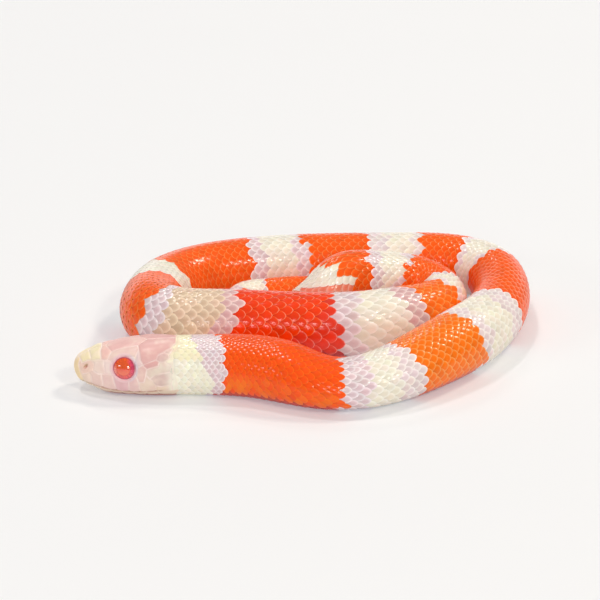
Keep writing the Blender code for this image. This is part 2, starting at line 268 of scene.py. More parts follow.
# The plates of the head, the same on both sides: colour, and corners as mm back from the snout and
# mm round from the crown's middle
HEAD_PLATES = {
    "rostral": ((247, 219, 172), (
        (-0.5, 0), (0.50, 0), (0.78, 0.90), (0.62, 1.55), (0.72, 2.30), (0.95, 3.05), (1.15, 3.90),
        (1.15, 5.4), (-0.5, 5.4))),
    "internasal": ((248, 230, 188), (
        (0.50, 0), (1.72, 0), (2.00, 1.25), (2.15, 2.00), (1.75, 1.75), (1.05, 1.65), (0.78, 0.90))),
    "nasal": ((243, 208, 192), (
        (0.78, 0.90), (1.05, 1.65), (1.75, 1.75), (2.15, 2.00), (2.50, 2.60), (2.35, 3.35),
        (1.90, 3.30), (0.95, 3.05), (0.72, 2.30), (0.62, 1.55))),
    "prefrontal_front": ((246, 231, 192), (
        (1.72, 0), (3.25, 0), (3.15, 1.10), (3.30, 2.35), (2.75, 2.25), (2.15, 2.00), (2.00, 1.25))),
    "prefrontal_rear": ((243, 197, 186), (
        (3.25, 0), (3.72, 0), (3.95, 0.60), (4.49, 1.66), (4.03, 2.64), (3.60, 2.50), (3.30, 2.35),
        (3.15, 1.10))),
    "frontal": ((238, 190, 184), (
        (3.72, 0), (8.45, 0), (7.48, 1.30), (6.02, 1.36), (5.04, 1.46), (4.49, 1.66), (3.95, 0.60))),
    "supraocular": ((237, 201, 192), (
        (4.49, 1.66), (5.04, 1.46), (6.02, 1.36), (7.48, 1.30), (7.62, 2.00), (7.30, 2.95),
        (6.00, 2.75), (4.75, 2.95), (4.03, 2.64))),
    "preocular": ((246, 222, 214), (
        (4.03, 2.64), (4.75, 2.95), (5.00, 4.20), (4.65, 4.55), (3.75, 4.15), (3.66, 3.50), (3.60, 2.50))),
    "loreal": ((244, 220, 207), (
        (2.15, 2.00), (2.75, 2.25), (3.30, 2.35), (3.60, 2.50), (3.66, 3.50), (3.75, 4.15),
        (3.00, 4.00), (2.35, 3.35), (2.50, 2.60))),
    "lip_1": ((242, 214, 196), (
        (0.95, 3.05), (1.90, 3.30), (2.10, 4.00), (2.15, 6.0), (1.15, 6.0), (1.15, 3.90))),
    "lip_2": ((237, 206, 195), (
        (1.90, 3.30), (2.35, 3.35), (3.00, 4.00), (3.30, 4.05), (3.45, 5.00), (3.40, 7.5), (2.15, 6.0),
        (2.10, 4.00))),
    "lip_3": ((237, 203, 195), (
        (3.30, 4.05), (3.75, 4.15), (4.65, 4.55), (4.72, 5.20), (4.90, 6.00), (5.20, 7.8), (3.40, 7.5),
        (3.45, 5.00))),
    "lip_4": ((233, 190, 192), (
        (4.65, 4.55), (5.00, 4.20), (5.90, 5.00), (6.50, 5.60), (6.48, 7.8), (5.20, 7.8), (4.90, 6.00),
        (4.72, 5.20))),
    "lip_5": ((236, 199, 194), (
        (5.90, 5.00), (7.40, 5.35), (7.65, 6.10), (7.75, 8.0), (6.48, 7.8), (6.50, 5.60))),
    "lip_6": ((238, 215, 196), (
        (8.25, 6.10), (8.50, 5.20), (8.90, 5.70), (9.25, 5.95), (9.60, 6.60), (9.50, 8.0), (7.75, 8.0),
        (7.65, 6.10))),
    "lip_7": ((219, 190, 181), (
        (8.90, 5.70), (9.50, 5.30), (10.40, 4.95), (11.40, 4.70), (11.60, 5.40), (11.35, 6.30),
        (10.20, 6.70), (9.60, 6.60), (9.25, 5.95))),
    "postocular_upper": ((234, 210, 208), (
        (7.30, 2.95), (7.62, 2.00), (7.75, 2.60), (7.85, 3.45), (8.15, 4.00), (7.60, 4.20), (7.20, 3.90))),
    "postocular_lower": ((233, 192, 184), (
        (7.20, 3.90), (7.60, 4.20), (8.15, 4.00), (8.60, 4.55), (8.50, 5.20), (8.25, 6.10),
        (7.65, 6.10), (7.40, 5.35))),
    "parietal": ((232, 182, 176), (
        (8.45, 0), (11.90, 0), (11.87, 1.07), (11.21, 1.87), (10.49, 2.44), (9.96, 2.82), (9.66, 3.45),
        (8.15, 4.00), (7.85, 3.45), (7.75, 2.60), (7.62, 2.00), (7.48, 1.30))),
    "temporal_1": ((228, 172, 167), (
        (8.15, 4.00), (9.66, 3.45), (10.05, 3.65), (9.90, 4.15), (9.30, 4.35), (8.60, 4.55))),
    "temporal_2": ((226, 190, 183), (
        (9.66, 3.45), (9.96, 2.82), (10.49, 2.44), (11.10, 2.65), (11.20, 3.15), (10.60, 3.60),
        (10.05, 3.65))),
    "temporal_3": ((234, 196, 187), (
        (10.49, 2.44), (11.21, 1.87), (11.60, 2.05), (11.10, 2.65))),
    "cheek": ((236, 219, 201), (
        (8.60, 4.55), (9.30, 4.35), (9.90, 4.15), (10.05, 3.65), (10.60, 3.60), (11.35, 4.00),
        (11.40, 4.70), (10.40, 4.95), (9.50, 5.30), (8.90, 5.70), (8.50, 5.20))),
    "lip_rear": ((238, 212, 188), (
        (9.60, 6.60), (10.20, 6.70), (11.35, 6.30), (11.60, 8.0), (9.50, 8.0))),
}
MIDDLE_SEAMS = ((0.50, 3.72), (8.45, 11.90))    # where a seam runs along the crown's middle
CHIN_SEAMS = (1.2, 2.1, 3.1, 4.3, 5.6, 7.0, 8.4, 9.8)   # mm back, between the plates of the lower lip
CHIN_PLATE = 1.15           # mm that these plates reach below the mouth
SEAM_WIDTH = 0.075
SEAM_DEPTH = 0.06
PLATE_PUFF = 0.06           # how far the plates stand up between their seams
MOUTH_DEPTH = 0.20
NOSTRIL_PLACE = (1.51, 2.36)    # mm back from the snout, mm round from the crown's middle
NOSTRIL_DEPTH = 0.28
EYE_PLACE = (5.96, 4.10)    # the same
EYE_RADIUS = 1.30
EYE_BULGE = 0.32            # height of the eye's clear dome over the skin round it
EYE_SINK = 0.22             # how deep the skin drops under the eye
FAR = 9.0                   # mm, further than anything on the head

# More colours of the head
COLLAR = (250, 238, 204)
CHEEK_LOW = (237, 215, 182)
PALE_PATCH = (251, 228, 212)
ROSY_PATCH = (222, 170, 168)
LOWER_JAW = (238, 216, 192)
# painted shadow along the jaw's lowest edge
JAW_SHADOW = (168, 78, 66)
SEAM_COLOUR = (255, 234, 226)
# painted shade in the mouth's groove, red-brown, olive near the snout
MOUTH_SHADE_COLOUR = (176, 98, 80)
MOUTH_FRONT_SHADE_COLOUR = (150, 140, 108)
NOSTRIL_PINK = (214, 142, 128)
NOSTRIL_OLIVE = (186, 158, 112)
EYE_RING = (240, 202, 204)
EYE_RING_REAR = (222, 203, 212)
EYE_HALO = (250, 196, 200)

# Colours of the eye; the low iris and pupil colours are a painted reflection in its lower half
IRIS = (238, 88, 22)
IRIS_REAR = (220, 66, 98)
IRIS_FRONT = (244, 140, 124)
IRIS_LOW_REFLECTION = (228, 84, 84)
PUPIL = (238, 88, 66)
PUPIL_LOW_REFLECTION = (242, 112, 78)
PUPIL_RIM = (200, 48, 52)
LIMBUS = (178, 54, 84)
EYE_RIM = (226, 140, 156)

# Each finish: size and strength of its grain, roughness, gloss coat, the coat's roughness and its IOR
FINISHES = {
    "snake_skin": (2600.0, 0.05, 0.42, 0.45, 0.32, 1.5),
    "snake_scales": (3800.0, 0.06, 0.45, 0.55, 0.16, 1.5),
    "snake_eyes": (5200.0, 0.04, 0.30, 1.0, 0.06, 1.75),
}


def natural_spline(knots, values, wanted):
    """Smooth curve through the values at the knots, read at the wanted places."""
    knots = np.asarray(knots, float)
    values = np.asarray(values, float)
    count = len(knots)
    step = np.diff(knots)
    slope = np.diff(values, axis=0) / step[:, None]
    matrix = np.eye(count)
    right = np.zeros_like(values)
    for i in range(1, count - 1):
        matrix[i, i - 1] = step[i - 1]
        matrix[i, i] = 2 * (step[i - 1] + step[i])
        matrix[i, i + 1] = step[i]
        right[i] = 6 * (slope[i] - slope[i - 1])
    bend = np.linalg.solve(matrix, right)
    span = np.clip(np.searchsorted(knots, wanted) - 1, 0, count - 2)
    h = step[span][:, None]
    a = (knots[span + 1] - wanted)[:, None]
    b = (wanted - knots[span])[:, None]
    cubic = (bend[span] * a**3 + bend[span + 1] * b**3) / (6 * h)
    start = (values[span] / h - bend[span] * h / 6) * a
    end = (values[span + 1] / h - bend[span + 1] * h / 6) * b
    return cubic + start + end


def unit(vectors):
    return vectors / np.linalg.norm(vectors, axis=-1, keepdims=True)


def smooth(low, high, values):
    """0 below low, 1 above high, and a soft step between."""
    share = np.clip((values - low) / (high - low), 0, 1)
    return share * share * (3 - 2 * share)


def bell(values, width):
    """1 where the values are 0, falling to nothing some two widths off on both sides."""
    return np.exp(-(values / width) ** 2)


def read_table(table, places):
    """The table's values at the places, on straight lines between its rows."""
    return np.interp(places, *zip(*table))


def linear(colour):
    """A colour of 0 to 255, as a screen shows it, in the renderer's linear values."""
    share = np.asarray(colour, float) / 255
    return np.where(share <= 0.04045, share / 12.92, ((share + 0.055) / 1.055) ** 2.4)


def blend(colours, others, share):
    """The colours mixed with others, by the share that the others take."""
    return colours + (others - colours) * share[..., None]


def tinted(colours, colour, share):
    """The colours mixed with one that is given as 0 to 255."""
    return blend(colours, linear(colour), share)


class Body:
    """The body's smooth line, and the surface round it."""

    def __init__(self, route):
        stations = np.array(route)
        hops = np.linalg.norm(np.diff(stations[:, :2], axis=0), axis=1)
        knots = np.concatenate(([0.0], np.cumsum(hops)))
        fine = natural_spline(knots, stations, np.arange(0.0, knots[-1], FINE_STEP))
        fine[:, 2] = np.maximum(fine[:, 2], 0.0)
        path = np.linalg.norm(np.diff(fine[:, :3], axis=0), axis=1)
        self.distance = np.concatenate(([0.0], np.cumsum(path)))
        self.fine = fine
        self.length = float(self.distance[-1])

    def read(self, along):
        return np.stack([np.interp(along, self.distance, column) for column in self.fine.T], -1)

    def axes(self, along):
        ahead = self.read(np.minimum(along + 0.3, self.length))[..., :3]
        back = self.read(np.maximum(along - 0.3, 0.0))[..., :3]
        tangent = unit(ahead - back)
        side = unit(np.cross(tangent, (0.0, 0.0, 1.0)))
        return tangent, side, np.cross(side, tangent)

    def surface(self, along, angle, lift):
        """Points at a distance along the body, an angle round it and a height over its surface."""
        inside = np.clip(along, 0.0, self.length)
        row = self.read(inside)
        wide, high = row[..., 3], row[..., 4]
        tangent, side, up = self.axes(inside)
        cos, sin = np.cos(angle), np.sin(angle)
        across = np.hypot(high * cos, wide * sin)
        out = wide * cos + lift * high * cos / across
        rise = high * sin + lift * wide * sin / across
        rise = np.maximum(rise, -BELLY_CUT * high - np.minimum(lift, 0.0))
        point = row[..., :3] + up * (BELLY_CUT * high + rise)[..., None] + side * out[..., None]
        point = point + tangent * (along - inside)[..., None]
        point[..., 2] = np.maximum(point[..., 2], 0.0)
        return point

    def stretch(self, along, angle):
        """How much longer the surface is there than the line that it follows."""
        step = 0.2
        zero = np.zeros_like(along)
        ahead = self.surface(np.minimum(along + step, self.length), angle, zero)
        back = self.surface(np.maximum(along - step, 0.0), angle, zero)
        run = np.minimum(along + step, self.length) - np.maximum(along - step, 0.0)
        return np.linalg.norm(ahead - back, axis=-1) / run


def mouth_height(back):
    """Height of the line of the mouth, at a distance back from the snout."""
    knots, heights = np.array(MOUTH_LINE).T
    return natural_spline(knots, heights[:, None], np.clip([back], knots[0], JAW_BACK))[0, 0]


class Head:
    """The head's surface as a grid: rings from the snout back, and round each from belly to belly."""

    FINE_SIDES = 720

    def __init__(self, sides, step, end):
        close = np.array((0.0, 0.02, 0.06, 0.12, 0.20, 0.29, 0.39, 0.50))
        count = round((end - close[-1]) / step)
        self.back = np.concatenate((close, close[-1] + (end - close[-1]) * np.arange(1, count + 1) / count))
        self.sides = sides
        rings = [self.ring(back) for back in self.back]
        self.points = np.array([ring[0] for ring in rings])
        self.down = np.array([ring[1] for ring in rings])     # mm round the head from the crown's middle
        self.mouth = np.array([ring[2] for ring in rings])    # the same, at the line of the mouth
        self.side_sign = np.where(np.linspace(-1, 1, sides + 1) < 0, 1.0, -1.0)
        rows = np.gradient(self.points, axis=0)
        columns = np.gradient(self.points, axis=1)
        columns[:, 0] = columns[:, -1] = (self.points[:, 1] - self.points[:, -2]) / 2
        normal = np.cross(rows, columns)
        self.normal = normal / np.maximum(np.linalg.norm(normal, axis=-1, keepdims=True), 1e-9)
        self.normal[0] = (-1.0, 0.0, 0.0)

    def section(self, back, angle):
        knots = np.array(HEAD_STATIONS)
        first = knots[0, 0]
        wide, crown, chin = natural_spline(knots[:, 0], knots[:, 1:], np.array([max(back, first)]))[0]
        if back < first:
            share = math.sqrt(back / first)
            wide = wide * share
            crown = SNOUT_HEIGHT + (crown - SNOUT_HEIGHT) * share
            chin = SNOUT_HEIGHT + (chin - SNOUT_HEIGHT) * share
        chin = max(chin, 0.0)
        half = (crown - chin) / 2
        flat_chin = 1 - float(smooth(0.0, 0.4, chin))
        middle = chin + half * (1 + (BELLY_CUT - 1) * flat_chin)
        cos, sin = np.cos(angle), np.sin(angle)
        round_neck = float(smooth(8.5, HEAD_LENGTH, back))
        crown_flat = CROWN_FLATNESS + (2 - CROWN_FLATNESS) * round_neck
        cheek_flat = CHEEK_FLATNESS + (2 - CHEEK_FLATNESS) * round_neck
        flat = np.where(sin > 0, crown_flat, cheek_flat)
        out = wide * np.sign(cos) * np.abs(cos) ** (2 / flat)
        rise = np.sign(sin) * np.abs(sin) ** (2 / flat)
        height = middle + rise * np.where(sin > 0, crown - middle, half)
        height = np.maximum(height, chin)
        fade = 1 - float(smooth(JAW_BACK - 0.8, JAW_BACK + 0.4, back))
        out = out + cos * fade * LIP_BULGE * bell(height - mouth_height(back), LIP_SPREAD)
        return out, height

    def ring(self, back):
        """Points evenly spaced round one ring, how far each is from the crown's middle, and the mouth."""
        angle = np.pi / 2 + np.linspace(0, np.pi, self.FINE_SIDES + 1)
        out, height = self.section(back, angle)
        path = np.concatenate(([0.0], np.cumsum(np.hypot(np.diff(out), np.diff(height)))))
        share = np.abs(np.linspace(-1, 1, self.sides + 1))
        down = share * path[-1]
        y = np.interp(down, path, out)
        z = np.interp(down, path, height)
        near = np.linspace(-1, 1, self.sides + 1) < 0
        lean = (back / HEAD_STATIONS[-1][0]) ** 2
        middle = SNOUT[1] + (ROUTE[0][1] - SNOUT[1]) * lean
        x = np.full(self.sides + 1, SNOUT[0] + back)
        widest = int(np.argmin(out))
        line = widest + int(np.argmin(np.abs(height[widest:] - mouth_height(back))))
        return np.stack((x, middle + np.where(near, y, -y), z), -1), down, path[line]


def sides(corners):
    return zip(corners, corners[1:] + corners[:1])


def inside_corners(corners, x, y):
    """Whether each place lies inside a ring of corners."""
    inside = np.zeros(x.shape, bool)
    for (x1, y1), (x2, y2) in sides(corners):
        if y1 != y2:
            crosses = (y1 > y) != (y2 > y)
            inside ^= crosses & (x < x1 + (y - y1) * (x2 - x1) / (y2 - y1))
    return inside


def line_distance(start, end, x, y):
    across, along = end[0] - start[0], end[1] - start[1]
    share = ((x - start[0]) * across + (y - start[1]) * along) / (across**2 + along**2)
    share = np.clip(share, 0, 1)
    return np.hypot(x - start[0] - share * across, y - start[1] - share * along)


class EyeSite:
    """Where an eye sits: its middle, its own axes, and the curve of the cheek under it."""

    def __init__(self, head, side):
        ring = int(np.argmin(np.abs(head.back - EYE_PLACE[0])))
        signed = head.down[ring] * head.side_sign
        column = int(np.argmin(np.abs(signed - side * EYE_PLACE[1])))
        self.middle = head.points[ring, column]
        away = head.points - self.middle
        near = (np.linalg.norm(away, axis=-1) < 1.35) & (head.normal @ head.normal[ring, column] > 0.3)
        self.out = unit(head.normal[near].mean(axis=0))
        ahead = np.array((1.0, 0.0, 0.0))
        self.right = unit(ahead - (ahead @ self.out) * self.out)
        self.up = np.cross(self.out, self.right)
        if self.up[2] < 0:
            self.up = -self.up
        u, v, h = self.local(head.points[near])
        terms = self.terms(u, v)
        self.curve = np.linalg.lstsq(terms, h, rcond=None)[0]

    def local(self, points):
        away = points - self.middle
        return away @ self.right, away @ self.up, away @ self.out

    @staticmethod
    def terms(u, v):
        return np.stack((np.ones_like(u), u, v, u * u, u * v, v * v), -1)

    def cheek(self, u, v):
        return self.terms(u, v) @ self.curve

    def point(self, u, v, height):
        return (self.middle + u[..., None] * self.right + v[..., None] * self.up
                + (self.cheek(u, v) + height)[..., None] * self.out)


def softened(grid, rounds):
    """The grid's values spread to their neighbours, a little in each round."""
    for _ in range(rounds):
        for axis in (0, 1):
            places = np.arange(grid.shape[axis])
            ahead, back = (np.take(grid, places + step, axis, mode="clip") for step in (1, -1))
            grid = 0.5 * grid + 0.25 * (ahead + back)
    return grid


def mottling(points, size, seed):
    """Smooth uneven values from -1 to 1 over a grid of points, with patches of the given size."""
    flat = points.reshape(-1, 3) / size
    values = [noise.noise(Vector((x, y, z + seed))) for x, y, z in flat]
    return np.array(values).reshape(points.shape[:2])


def head_seams(back, down, below):
    """How far each place of the head lies from the nearest edge between two plates."""
    seam = np.full(down.shape, FAR)
    edges = [((start, 0), (end, 0)) for start, end in MIDDLE_SEAMS]
    for _, corners in HEAD_PLATES.values():
        edges += [(start, end) for start, end in sides(corners) if start[1] > 0 or end[1] > 0]
    for start, end in edges:
        seam = np.minimum(seam, line_distance(start, end, back, down))
    jaw = below > 0
    seam = np.where(jaw, FAR, seam)
    lip = jaw & (below < CHIN_PLATE)
    for place in CHIN_SEAMS:
        seam = np.where(lip, np.minimum(seam, np.abs(back - place - 0.15 * below)), seam)
    edge = jaw & (back > CHIN_SEAMS[0]) & (back < JAW_BACK)
    seam = np.where(edge, np.minimum(seam, np.abs(below - CHIN_PLATE)), seam)
    return np.where(back > read_table(COAT_FRONT, down), FAR, seam)


def head_colours(head, back, below):
    """The colour of every point of the head's grid, before its seams, mouth, nostrils and eyes."""
    down = head.down
    colour = tinted(linear(COLLAR), CHEEK_LOW, smooth(5.0, 8.5, down))
    for tone, corners in HEAD_PLATES.values():
        colour[inside_corners(corners, back, down)] = linear(tone)
    behind = smooth(10.4, 11.5, back) * smooth(2.6, 4.2, down)
    colour = softened(tinted(colour, COLOURS["neck_side"][1], 0.85 * behind), 5)
    patches = mottling(head.points, 1.1, 5.0) + 0.5 * mottling(head.points, 0.45, 9.0)
    colour = tinted(colour, PALE_PATCH, 0.55 * np.clip(patches, 0, 1))
    colour = tinted(colour, ROSY_PATCH, 0.40 * np.clip(-patches, 0, 1) * smooth(2.5, 4.0, back))
    jaw = below > 0
    colour[jaw] = linear(LOWER_JAW)
    # painted shadow along the jaw's lowest edge, close to the floor
    jaw_shadow_share = smooth(0.80, 0.25, head.points[..., 2]) * smooth(2.0, 5.0, back)
    return tinted(colour, JAW_SHADOW, 0.9 * jaw_shadow_share * jaw)


def head_relief(head, sites):
    """Height over the plain form of the head, and colour, of every point of its grid."""
    down = head.down
    back = np.broadcast_to(head.back[:, None], down.shape)
    below = down - head.mouth[:, None]
    colour = head_colours(head, back, below)
    seam = head_seams(back, down, below)
    line = bell(seam, SEAM_WIDTH)
    height = -SEAM_DEPTH * line + PLATE_PUFF * (1 - np.exp(-seam / 0.3))
    uneven = np.clip(0.62 + 0.75 * mottling(head.points, 0.8, 21.0), 0.1, 1.0)
    colour = tinted(colour, SEAM_COLOUR, uneven * line * np.where(below > 0, 0.3, 1.0))

    in_mouth = (1 - smooth(JAW_BACK - 0.4, JAW_BACK + 0.3, back)) * smooth(0.25, 0.5, back)
    height = height - MOUTH_DEPTH * in_mouth * bell(below, 0.085)
    front = 1 - smooth(1.5, 2.0, back)
    # painted shade along the mouth's groove, red-brown, olive near the snout
    shade = in_mouth * bell(below, 0.11)
    colour = tinted(colour, MOUTH_SHADE_COLOUR, 0.8 * shade * (1 - front))
    colour = tinted(colour, MOUTH_FRONT_SHADE_COLOUR, 0.7 * shade * front)

    nostril = np.hypot(back - NOSTRIL_PLACE[0], down - NOSTRIL_PLACE[1])
    height = height - NOSTRIL_DEPTH * bell(nostril, 0.17) + 0.03 * bell(nostril - 0.33, 0.1)
    olive = bell(nostril - 0.2, 0.09) * smooth(0.05, -0.15, down - NOSTRIL_PLACE[1])
    colour = tinted(colour, NOSTRIL_PINK, 0.8 * bell(nostril, 0.2))
    colour = tinted(colour, NOSTRIL_OLIVE, 0.8 * olive)

    for site in sites:
        u, v, h = site.local(head.points)
        outside = np.where(np.abs(h) < 1.4, np.hypot(u, v), FAR) - EYE_RADIUS
        height = height + 0.05 * bell(outside - 0.22, 0.13) - 0.05 * bell(outside - 0.04, 0.05)
        height = height - EYE_SINK * smooth(0.03, -0.10, outside)
        ring = tinted(linear(EYE_RING), EYE_RING_REAR, smooth(0.2, 1.2, u))
        colour = blend(colour, ring, 0.85 * smooth(0.46, 0.30, outside))
        colour = tinted(colour, EYE_HALO, 0.9 * bell(outside - 0.06, 0.07))

    coat = read_table(COAT_FRONT, down)
    depth = SKIN_DEPTH * read_table(SCALE_RELIEF, 0.0)
    sunk = smooth(coat - 0.1, coat + 0.5, back)
    height = height * (1 - sunk) - HEAD_SKIN_DEPTH - (depth - HEAD_SKIN_DEPTH) * sunk
    return height, colour


def band_index(along, angle, jitter):
    """The number of the band that each place lies in."""
    index = np.full(np.broadcast(along, angle).shape, -1)
    for top, right, belly, _ in BANDS:
        border = top + right * np.cos(angle) + belly * (1 - np.sin(angle)) / 2
        index = index + (along + jitter > border)
    return np.maximum(index, 0)


def band_colours(index, layer):
    """The colour of each place from its band, in one of the four layers of COLOURS."""
    return np.array([linear(COLOURS[name][layer]) for name in BAND_COLOURS])[index]


def in_frame(points):
    """Points of the route, in mm, as points of the part, in metres."""
    return (points - np.array((CENTRE[0], CENTRE[1], 0.0))) * MM


def wrapped_grid(bm, points, colours):
    """A grid of points joined to a tube whose seam runs along the belly."""
    rows, columns = points.shape[:2]
    made = bmesh.ops.create_grid(bm, x_segments=rows - 1, y_segments=columns - 1, size=1.0)
    tint = bm.verts.layers.float_color["tint"]
    for vert in made["verts"]:
        i = round((vert.co.x + 1) / 2 * (rows - 1))
        j = round((vert.co.y + 1) / 2 * (columns - 1))
        vert[tint] = (*colours[i, j], 1.0)
        vert.co = points[i, j]


def finished_mesh(bm, name):
    mesh = bpy.data.meshes.new(name)
    bm.to_mesh(mesh)
    bm.free()
    return mesh


def place_in_scene(name, data):
    obj = bpy.data.objects.new(name, data)
    bpy.context.scene.collection.objects.link(obj)
    return obj


def add_piece(mesh, name, material):
    obj = place_in_scene(name, mesh)
    mesh.materials.append(material)
    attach(obj, "root")
    return obj


def set_colours(mesh, colours):
    layer = mesh.color_attributes.new("tint", "FLOAT_COLOR", "POINT")
    filled = np.ones((len(mesh.vertices), 4))
    filled[:, :3] = colours
    layer.data.foreach_set("color", filled.ravel())


def grain_group():
    """Node group: a living skin's faint unevenness in colour and height."""
    group = bpy.data.node_groups.new("skin_grain", "ShaderNodeTree")
    for name, side, kind in (("Colour", "INPUT", "Color"), ("Grain Size", "INPUT", "Float"),
                             ("Strength", "INPUT", "Float"), ("Colour", "OUTPUT", "Color"),
                             ("Height", "OUTPUT", "Float")):
        group.interface.new_socket(name, in_out=side, socket_type="NodeSocket" + kind)
    nodes, links = group.nodes, group.links
    start = nodes.new("NodeGroupInput")
    end = nodes.new("NodeGroupOutput")
    place = nodes.new("ShaderNodeTexCoord")
    fine, wide = nodes.new("ShaderNodeTexNoise"), nodes.new("ShaderNodeTexNoise")
    for texture, detail in ((fine, 3.0), (wide, 2.0)):
        texture.inputs["Detail"].default_value = detail
        links.new(place.outputs["Object"], texture.inputs["Vector"])
    links.new(start.outputs["Grain Size"], fine.inputs["Scale"])
    wide.inputs["Scale"].default_value = 260.0
    both, centred, amount = (nodes.new("ShaderNodeMath") for _ in range(3))
    both.operation = "ADD"
    links.new(fine.outputs["Fac"], both.inputs[0])
    links.new(wide.outputs["Fac"], both.inputs[1])
    centred.operation = "SUBTRACT"
    links.new(both.outputs["Value"], centred.inputs[0])
    centred.inputs[1].default_value = 1.0
    amount.operation = "MULTIPLY_ADD"
    links.new(centred.outputs["Value"], amount.inputs[0])
    links.new(start.outputs["Strength"], amount.inputs[1])
    amount.inputs[2].default_value = 1.0
    tinting = nodes.new("ShaderNodeVectorMath")
    tinting.operation = "SCALE"
    links.new(start.outputs["Colour"], tinting.inputs[0])
    links.new(amount.outputs["Value"], tinting.inputs["Scale"])
    links.new(tinting.outputs["Vector"], end.inputs["Colour"])
    links.new(fine.outputs["Fac"], end.inputs["Height"])
    return group


def snake_material(name, group, grain, strength, roughness, coat, coat_roughness, coat_ior):
    material = bpy.data.materials.new(name)
    material.use_nodes = True
    nodes, links = material.node_tree.nodes, material.node_tree.links
    shader = nodes["Principled BSDF"]
    tint = nodes.new("ShaderNodeAttribute")
    tint.attribute_name = "tint"
    uneven = nodes.new("ShaderNodeGroup")
    uneven.node_tree = group
    uneven.inputs["Grain Size"].default_value = grain
    uneven.inputs["Strength"].default_value = strength
    links.new(tint.outputs["Color"], uneven.inputs["Colour"])
    links.new(uneven.outputs["Colour"], shader.inputs["Base Color"])
    bump = nodes.new("ShaderNodeBump")
    bump.inputs["Strength"].default_value = 0.25
    bump.inputs["Distance"].default_value = 0.02 * MM
    links.new(uneven.outputs["Height"], bump.inputs["Height"])
    links.new(bump.outputs["Normal"], shader.inputs["Normal"])
    for socket, value in (("Roughness", roughness), ("Specular IOR Level", 0.07), ("Coat Weight", coat),
                          ("Coat Roughness", coat_roughness), ("Coat IOR", coat_ior)):
        shader.inputs[socket].default_value = value
    return material


def build_skin(body, head, sites, material):
    bm = bmesh.new()
    bm.verts.layers.float_color.new("tint")
    height, colour = head_relief(head, sites)
    points = head.points + head.normal * height[..., None]
    points[..., 2] = np.maximum(points[..., 2], 0.0)
    wrapped_grid(bm, in_frame(points), colour)

    start = 0.5
    count = round((body.length - start) / BODY_RING_STEP)
    along = start + (body.length - start) * np.arange(count + 1) / count
    turn = -np.pi / 2 + 2 * np.pi * np.arange(BODY_SIDES + 1) / BODY_SIDES
    s, a = np.meshgrid(along, turn, indexing="ij")
    tube = body.surface(s, a, -SKIN_DEPTH * read_table(SCALE_RELIEF, s))
    tube[-1] = tube[-1].mean(axis=0)
    wrapped_grid(bm, in_frame(tube), band_colours(band_index(s, a, 0.0), 2))
    bmesh.ops.remove_doubles(bm, verts=bm.verts, dist=2e-7)
    borders = [edge for edge in bm.edges if edge.is_boundary]
    bmesh.ops.bridge_loops(bm, edges=borders)
    bmesh.ops.recalc_face_normals(bm, faces=bm.faces)
    mesh = finished_mesh(bm, "skin")
    mesh.shade_smooth()
    skin = add_piece(mesh, "skin", material)
    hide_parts(*[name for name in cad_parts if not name.startswith("eye")])


def eye_colours(u, v, streak, grain):
    """The eye's colour at each place, from the clear rim to the round pupil, with a painted reflection that
    splits it at a level line.
    """
    u, v = u / EYE_RADIUS, v / EYE_RADIUS
    reach = np.hypot(u, v)
    iris = tinted(linear(IRIS), IRIS_REAR, smooth(0.15, 0.75, u))
    iris = tinted(iris, IRIS_FRONT, smooth(0.45, 0.80, -u) * smooth(0.5, 0.0, v))
    # painted reflection: the iris turns pinker in the eye's lower half
    iris = tinted(iris, IRIS_LOW_REFLECTION, smooth(0.3, 0.8, -v))
    iris = iris * (1 + 0.22 * streak + 0.25 * grain)[..., None]
    # painted reflection: below a level line the pupil is paler and coral, and above it the pupil takes the
    # iris's colour
    pupil = tinted(linear(PUPIL), PUPIL_LOW_REFLECTION, smooth(0.1, -0.45, v))
    pupil = blend(pupil, linear(IRIS) * 0.94, smooth(-0.05, 0.10, v))
    pupil = pupil * (1 + 0.18 * grain * smooth(-0.1, 0.1, v))[..., None]
    colour = blend(iris, pupil, smooth(0.66, 0.60, reach))
    colour = tinted(colour, PUPIL_RIM, 0.5 * bell(reach - 0.63, 0.035) * smooth(0.3, -0.1, v))
    colour = tinted(colour, LIMBUS, 0.85 * smooth(0.86, 0.95, reach))
    return np.clip(tinted(colour, EYE_RIM, smooth(0.955, 0.99, reach)), 0, 1)


def build_eye(name, site, material, seed):
    bm = bmesh.new()
    bmesh.ops.create_uvsphere(bm, u_segments=120, v_segments=80, radius=1.0)
    places = np.array([vert.co for vert in bm.verts])
    u, v = places[:, 0] * EYE_RADIUS, places[:, 1] * EYE_RADIUS
    z = places[:, 2]
    height = np.where(z > 0, EYE_BULGE * z**2, -0.14 * np.abs(z)) - 0.015
    for vert, point in zip(bm.verts, in_frame(site.point(u, v, height))):
        vert.co = point
    bmesh.ops.recalc_face_normals(bm, faces=bm.faces)
    mesh = finished_mesh(bm, name)
    mesh.shade_smooth()
    rng = np.random.default_rng(seed)
    knots = np.linspace(-np.pi, np.pi, 73)
    fibres = rng.normal(0.0, 0.5, 73)
    fibres[-1] = fibres[0]
    streak = np.interp(np.arctan2(v, u), knots, fibres)
    grain = np.array([noise.noise(Vector((6.5 * a, 6.5 * b, seed))) for a, b in zip(u, v)])
    set_colours(mesh, eye_colours(u, v, streak, grain))
    eye = add_piece(mesh, name, material)
    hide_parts(name.replace("_dome", ""))


